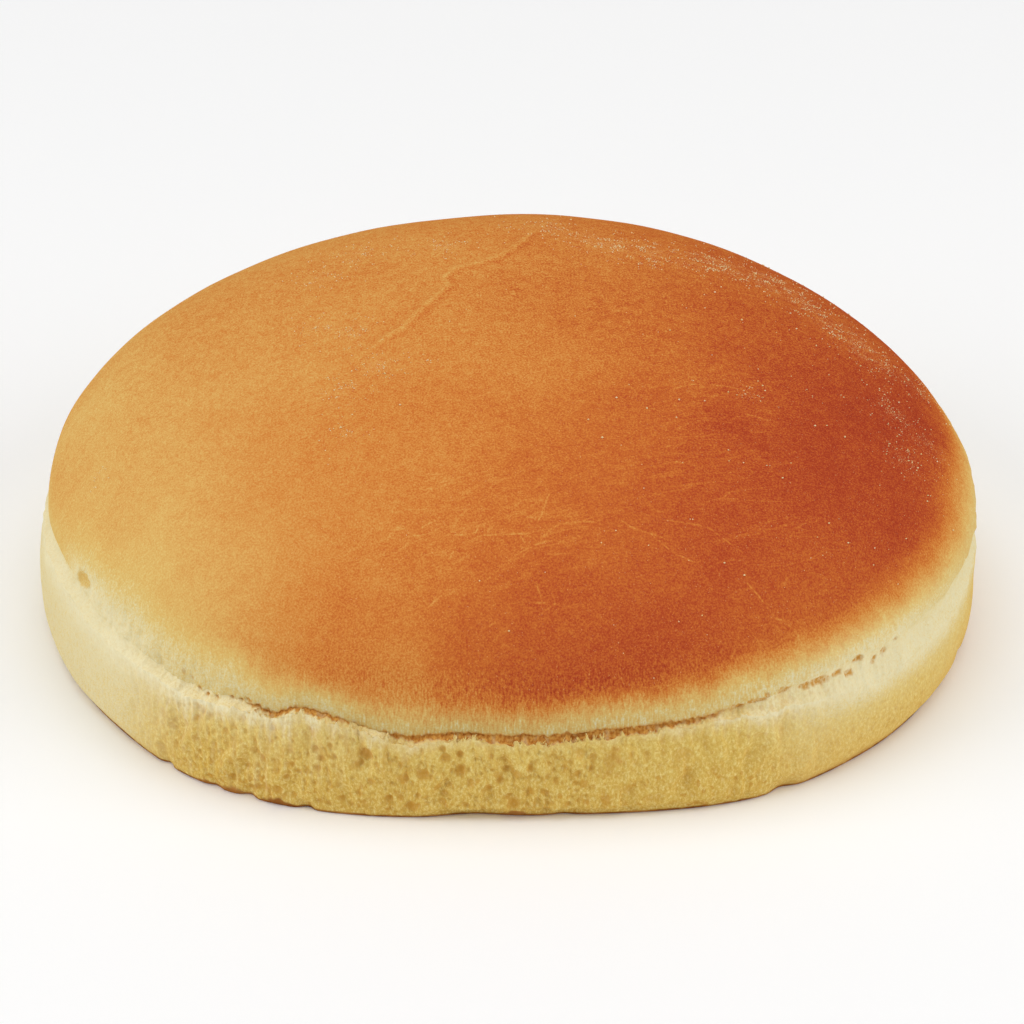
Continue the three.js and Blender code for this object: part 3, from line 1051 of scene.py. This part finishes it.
CRUST_COLOURS = (  # by browning, which on the dome holds painted shade as well
    (0.0, (232, 221, 180)), (0.1, (230, 210, 150)), (0.2, (227, 194, 116)), (0.35, (222, 173, 97)),
    (0.5, (216, 151, 77)), (0.62, (211, 132, 61)), (0.75, (200, 108, 48)), (0.88, (184, 83, 43)),
    (1.0, (168, 64, 38)), (1.25, (140, 44, 32)),
)
CRUMB_COLOURS = ((0.3, (206, 161, 73)), (0.5, (221, 187, 97)), (0.7, (243, 226, 156)))
HIGH_CRUMB = (236, 212, 124)
PORE_SHADE_COLOUR = (200, 146, 58)
FRINGE_COLOUR = (246, 236, 198)
SLIT_COLOURS = ((0.35, (176, 109, 45)), (0.65, (219, 164, 82)))
CRACK_COLOUR = (208, 154, 76)
BASE_COLOURS = ((0.3, (140, 84, 40)), (0.5, (172, 114, 56)), (0.7, (196, 142, 80)))
FLOUR_COLOUR = (240, 204, 142)
PINHOLE_COLOUR = (196, 150, 82)
LIP_SHADING = (0.78, 0.84, 0.92, 1)
FLOOR_COLOUR = (0.98, 0.98, 0.98, 1)
GRAIN_PLACES = (-60 * MM, 25 * MM, 0.8, 1.4)  # from the front to behind, and the grain's strength there
GRAIN_TONES = (0.05, 0.5, 0.55, 1.0)  # browning, and the grain's strength there
LOW_PORES = (5 * MM, 12 * MM, 1.0, 0.35)  # heights, and the strength of the painted shade of the wider fine pores there
PALE_HEIGHTS = (4 * MM, 13 * MM, 0.0, 0.25)  # heights between which the crumb gets paler
FLOUR_HAZE = 0.45
BUMP = 0.1 * MM

# How much each of these changes the browning of the crust, and for the fold its painted highlight and shadow
GRAIN = 0.95
FLECKS = 0.1
MOTTLE = 0.26
FLUFF = 0.28
STREAKS = 0.62
WRINKLES = -0.08
SCRATCHED = -0.16
FOLD = 0.12


def srgb(red, green, blue):
    """A colour as seen on a screen, from 0 to 255, as the linear colour that shaders take."""
    channels = np.array([red, green, blue]) / 255
    linear = np.where(channels <= 0.04045, channels / 12.92, ((channels + 0.055) / 1.055) ** 2.4)
    return (*linear.tolist(), 1.0)


class Shader:
    """Adds nodes to a material and links them."""

    def __init__(self, name):
        self.material = bpy.data.materials.new(name)
        self.material.use_nodes = True
        self.tree = self.material.node_tree
        self.tree.nodes.clear()
        self.place = self.add("ShaderNodeTexCoord").outputs["Object"]

    def add(self, kind, settings=None, *values, **inputs):
        """A node with its settings, values for its first inputs in order, and inputs by name."""
        node = self.tree.nodes.new(kind)
        for name, value in (settings or {}).items():
            setattr(node, name, value)
        for socket, value in zip(node.inputs, values):
            self.put(socket, value)
        for name, value in inputs.items():
            self.put(node.inputs[name.replace("_", " ")], value)
        return node

    def put(self, socket, value):
        if isinstance(value, bpy.types.NodeSocket):
            self.tree.links.new(value, socket)
        else:
            socket.default_value = value

    def tone(self, name):
        return self.add("ShaderNodeAttribute", {"attribute_name": name}).outputs["Fac"]

    def along(self, axis):
        return self.add("ShaderNodeSeparateXYZ", Vector=self.place).outputs[axis]

    def scaled(self, size, stretch=(1, 1, 1), turn=0.0, place=None):
        """Places in steps of a size in millimetres, longer along axes turned about Z by an angle."""
        mapped = self.add(
            "ShaderNodeMapping", {"vector_type": "TEXTURE"},
            Vector=place or self.place,
            Rotation=(0, 0, math.radians(turn)),
            Scale=[size * MM * part for part in stretch],
        )
        return mapped.outputs["Vector"]

    def warped(self, size, push):
        """Places pushed about in lumps of a size, by up to half a push in millimetres."""
        lumps = self.add("ShaderNodeTexNoise", Vector=self.scaled(size), Scale=1.0, Detail=2.0)
        pushes = (lumps.outputs["Color"], [push * MM] * 3, self.place)
        return self.add("ShaderNodeVectorMath", {"operation": "MULTIPLY_ADD"}, *pushes).outputs["Vector"]

    def noise(self, size, detail=2.0, stretch=(1, 1, 1), turn=0.0, roughness=0.5):
        """Noise from 0 to 1 in lumps of a size in millimetres, stretched and turned."""
        place = self.scaled(size, stretch, turn)
        node = self.add("ShaderNodeTexNoise", Vector=place, Scale=1.0, Detail=detail, Roughness=roughness)
        return node.outputs["Fac"]

    def maths(self, operation, first, second=0.0, third=0.0):
        return self.add("ShaderNodeMath", {"operation": operation}, first, second, third).outputs["Value"]

    def times(self, first, second):
        return self.maths("MULTIPLY", first, second)

    def most(self, first, second):
        return self.maths("MAXIMUM", first, second)

    def less(self, value, middle=0.5):
        return self.maths("SUBTRACT", value, middle)

    def more(self, base, value, gain):
        """A base with a value times a gain added to it."""
        return self.maths("MULTIPLY_ADD", value, gain, base)

    def range(self, value, start, end, low=0.0, high=1.0):
        """From low at start to high at end, in a soft step."""
        soft = {"interpolation_type": "SMOOTHSTEP"}
        return self.add("ShaderNodeMapRange", soft, value, start, end, low, high).outputs["Result"]

    def line(self, distance, start, end):
        """1 within an end distance to either side, and 0 beyond a start distance."""
        return self.range(self.maths("ABSOLUTE", distance), start, end)

    def mix(self, share, first, second, blend="MIX"):
        node = self.add("ShaderNodeMix", {"data_type": "RGBA", "clamp_factor": True, "blend_type": blend})
        for index, value in ((0, share), (6, first), (7, second)):
            self.put(node.inputs[index], value)
        return node.outputs[2]

    def ramp(self, value, stops):
        last = stops[-1][0]
        node = self.add("ShaderNodeValToRGB", Fac=self.maths("DIVIDE", value, last))
        elements = node.color_ramp.elements
        while len(elements) < len(stops):
            elements.new(0.5)
        for element, (position, colour) in zip(elements, stops):
            element.position = position / last
            element.color = srgb(*colour)
        return node.outputs["Color"]

    def specks(self, spacing, limit, least, most, stretch=(1, 1, 1), place=None):
        """Round or stretched specks on a loose grid, where a random share is above a limit."""
        cells = self.add("ShaderNodeTexVoronoi", Vector=self.scaled(spacing, stretch, place=place), Scale=1.0)
        chance = self.add("ShaderNodeSeparateColor", Color=cells.outputs["Color"])
        picked = self.maths("GREATER_THAN", chance.outputs["Red"], limit)
        size = self.range(chance.outputs["Green"], 0.0, 1.0, least, most)
        speck = self.range(self.less(size, cells.outputs["Distance"]), 0.0, 0.12)
        return self.times(speck, picked)


def crust_grain(shader, browning):
    """The grain, flecks and mottling of the crust, stronger behind and on brown crust."""
    grains = shader.noise(0.27, 3.0, roughness=0.7)
    pale_flecks = shader.range(grains, 0.63, 0.76, 0.0, -FLECKS)
    dark_flecks = shader.range(grains, 0.34, 0.22, 0.0, FLECKS)
    mottle = shader.less(shader.noise(1.6, 4.0, roughness=0.65))
    spread = shader.more(shader.maths("ADD", pale_flecks, dark_flecks), mottle, MOTTLE)
    spread = shader.more(spread, shader.less(grains), GRAIN)
    behind = shader.range(shader.along("Y"), *GRAIN_PLACES)
    return shader.times(spread, shader.times(shader.range(browning, *GRAIN_TONES), behind))


def crust_marks(shader, tone):
    """A tone with the pale wrinkles and scratches, and the fold line: a pale crest, partly painted highlight,
    with painted shadow on one side.
    """
    wrinkles = shader.line(shader.less(shader.noise(2.4, 2.0, stretch=(7, 1, 1), turn=20)), 0.03, 0.004)
    tone = shader.more(tone, shader.times(wrinkles, shader.tone("wrinkle")), WRINKLES)
    faint = shader.range(shader.noise(0.9, 3.0), 0.36, 0.6, 0.1, 1.0)
    for layer in range(1, SCRATCH_LAYERS + 1):
        scratch = shader.line(shader.tone(f"aside_{layer}"), 0.2, 0.04)
        scratch = shader.times(scratch, shader.tone(f"marked_{layer}"))
        tone = shader.more(tone, shader.times(scratch, faint), SCRATCHED)
    # The fold line: a pale crest, partly painted highlight, and a painted shadow along one side of it
    beside = shader.tone("aside_0")
    crest = shader.times(shader.line(beside, 0.7, 0.0), faint)
    shaded = shader.times(shader.range(beside, -0.4, -1.0), shader.range(beside, -2.0, -1.2))
    fold = shader.more(shader.times(crest, -1.0), shaded, 0.5)
    return shader.more(tone, shader.times(fold, shader.tone("marked_0")), FOLD)


def crust_colour(shader):
    """The browned skin: its grain and marks, and the fluff and streaks of the pale shell."""
    browning = shader.tone("browning")
    tone = shader.maths("ADD", browning, crust_grain(shader, browning))
    fluff = shader.less(shader.noise(0.5, 4.0, stretch=(1, 1, 1.6), roughness=0.75), 0.48)
    tone = shader.more(tone, fluff, shader.range(browning, 0.4, 0.12, 0.0, FLUFF))
    streaks = shader.less(shader.noise(0.26, 2.0, stretch=(1, 1, 5)))
    tone = shader.more(tone, shader.times(streaks, shader.tone("streak")), STREAKS)
    crust = shader.ramp(crust_marks(shader, tone), CRUST_COLOURS)
    flour = shader.times(flour_haze(shader), shader.range(browning, 0.2, 0.4))
    crust = shader.mix(flour, crust, srgb(*FLOUR_COLOUR))
    # Painted shade: darkens the shell just above the slit, where it turns under
    crust = shader.mix(shader.tone("dull"), crust, LIP_SHADING, blend="MULTIPLY")
    pinholes = shader.times(shader.specks(1.3, 0.6, 0.04, 0.14), shader.range(browning, 0.4, 0.2))
    return shader.mix(shader.times(pinholes, 0.6), crust, srgb(*PINHOLE_COLOUR))


def flour_haze(shader):
    """A thin haze of flour where the crust is dusted."""
    patchy = shader.range(shader.noise(2.2, 4.0, roughness=0.65), 0.36, 0.66, 0.3, 1.0)
    crowded = shader.times(shader.tone("flour"), patchy)
    dust = shader.range(shader.more(shader.noise(0.2, 1.0), crowded, 0.17), 0.7, 0.78)
    return shader.times(dust, FLOUR_HAZE)


def fine_pore_shade(shader):
    """Painted shade of pores too small for the mesh, with uneven outlines."""
    place = shader.warped(0.9, 1.6)
    small = shader.specks(0.5, 0.5, 0.12, 0.45, (1, 1, 1.6), place)
    medium = shader.specks(1.1, 0.55, 0.12, 0.42, (1, 1, 1.4), place)
    large = shader.specks(2.6, 0.6, 0.1, 0.32, (1, 1, 1.2), place)
    wide = shader.times(shader.most(medium, large), shader.range(shader.along("Z"), *LOW_PORES))
    return shader.most(shader.times(small, 0.6), wide)


def crumb_colour(shader):
    """The bare crumb: yellow, paler on its ridges, with painted shade in its pores."""
    walls = shader.ramp(shader.noise(0.36, 4.0, stretch=(1, 1, 1.7), roughness=0.75), CRUMB_COLOURS)
    walls = shader.mix(shader.range(shader.along("Z"), *PALE_HEIGHTS), walls, srgb(*HIGH_CRUMB))
    # Painted shade in the pores, by their depth in the mesh and in the fine pores
    pores = shader.most(shader.tone("pore_shade"), shader.times(fine_pore_shade(shader), 0.8))
    return shader.mix(shader.times(pores, 0.8), walls, srgb(*PORE_SHADE_COLOUR))


def bread_material():
    shader = Shader("bread")
    crumb = shader.tone("crumb")
    colour = shader.mix(crumb, crust_colour(shader), crumb_colour(shader))
    tufts = shader.range(shader.noise(0.3, 3.0, stretch=(1, 1, 5)), 0.35, 0.6, 0.65, 1.0)
    tufts = shader.times(tufts, shader.range(shader.noise(0.7, 4.0, roughness=0.7), 0.36, 0.6, 0.7, 1.0))
    colour = shader.mix(shader.times(shader.tone("fringe"), tufts), colour, srgb(*FRINGE_COLOUR))
    broken = shader.range(shader.noise(0.5, 2.0, stretch=(1, 1, 1.6)), 0.38, 0.58, 0.4, 1.0)
    colour = shader.mix(shader.times(shader.tone("crack"), broken), colour, srgb(*CRACK_COLOUR))
    slit = shader.ramp(shader.noise(0.4, 3.0, stretch=(1, 1, 1.5)), SLIT_COLOURS)
    colour = shader.mix(shader.tone("slit"), colour, slit)
    colour = shader.mix(shader.tone("base"), colour, shader.ramp(shader.noise(4, 5.0), BASE_COLOURS))

    fine = shader.maths("ADD", shader.noise(0.35, 3.0), shader.noise(1.2, 2.0))
    crust_bump = shader.range(shader.tone("browning"), 0.1, 0.4, 1.0, 0.25)
    strength = shader.most(shader.range(crumb, 0.0, 1.0, 0.0, 0.9), crust_bump)
    bread = shader.add(
        "ShaderNodeBsdfPrincipled",
        Base_Color=colour,
        Roughness=shader.range(crumb, 0.0, 1.0, 0.65, 0.85),
        Normal=shader.add("ShaderNodeBump", Height=fine, Distance=BUMP, Strength=strength).outputs["Normal"],
        Specular_IOR_Level=0.0,
    )
    shader.add("ShaderNodeOutputMaterial", Surface=bread.outputs["BSDF"])
    return shader.material


def floor_material():
    shader = Shader("pale_floor")
    surface = shader.add("ShaderNodeBsdfPrincipled", Base_Color=FLOOR_COLOUR, Roughness=0.9)
    shader.add("ShaderNodeOutputMaterial", Surface=surface.outputs["BSDF"])
    return shader.material


# Floor, light and camera

FLOOR_SIZE = 6.0
FLOOR_GAP = 0.1 * MM
WORLD_LIGHT = 0.4
LAMPS = (  # name, place, size and power of each soft lamp
    ("top", (0.0, -0.07, 1.3), 1.3, 7.0),
    ("left", (-1.2, -0.33, 0.75), 1.0, 6.6),
    ("right", (1.2, -0.38, 0.75), 1.0, 6.4),
)
CAMERA_AIM = (0.84 * MM, 0.0, 11.45 * MM)
CAMERA_HEIGHT = 30  # degrees above the floor
CAMERA_DISTANCE = 0.65
CAMERA_FIELD = 14.1


def make_floor():
    half = FLOOR_SIZE / 2
    corners = [(-half, -half, 0), (half, -half, 0), (half, half, 0), (-half, half, 0)]
    mesh = make_mesh("floor", corners, [(0, 1, 2, 3)], {})
    mesh.materials.append(floor_material())
    floor = add_object("floor", mesh)
    floor.location.z = -FLOOR_GAP


def make_light():
    world = bpy.data.worlds.new("soft_white")
    world.use_nodes = True
    background = world.node_tree.nodes["Background"]
    background.inputs["Color"].default_value = (1, 1, 1, 1)
    background.inputs["Strength"].default_value = WORLD_LIGHT
    bpy.context.scene.world = world
    for name, place, size, power in LAMPS:
        data = bpy.data.lights.new(f"lamp_{name}", "AREA")
        data.size = size
        data.energy = power
        lamp = add_object(data.name, data)
        lamp.location = place
        lamp.rotation_euler = (-Vector(place)).to_track_quat("-Z", "Y").to_euler()


def make_camera():
    data = bpy.data.cameras.new("camera")
    data.angle = math.radians(CAMERA_FIELD)
    camera = add_object("camera", data)
    angle = math.radians(CAMERA_HEIGHT)
    camera.location = Vector(CAMERA_AIM) + CAMERA_DISTANCE * Vector((0, -math.cos(angle), math.sin(angle)))
    camera.rotation_euler = (math.pi / 2 - angle, 0, 0)
    bpy.context.scene.camera = camera


make_camera()
make_light()
make_floor()
bpy.context.scene.view_settings.view_transform = "Standard"

bun = make_pieces()["bun_bread"]
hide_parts("bun")
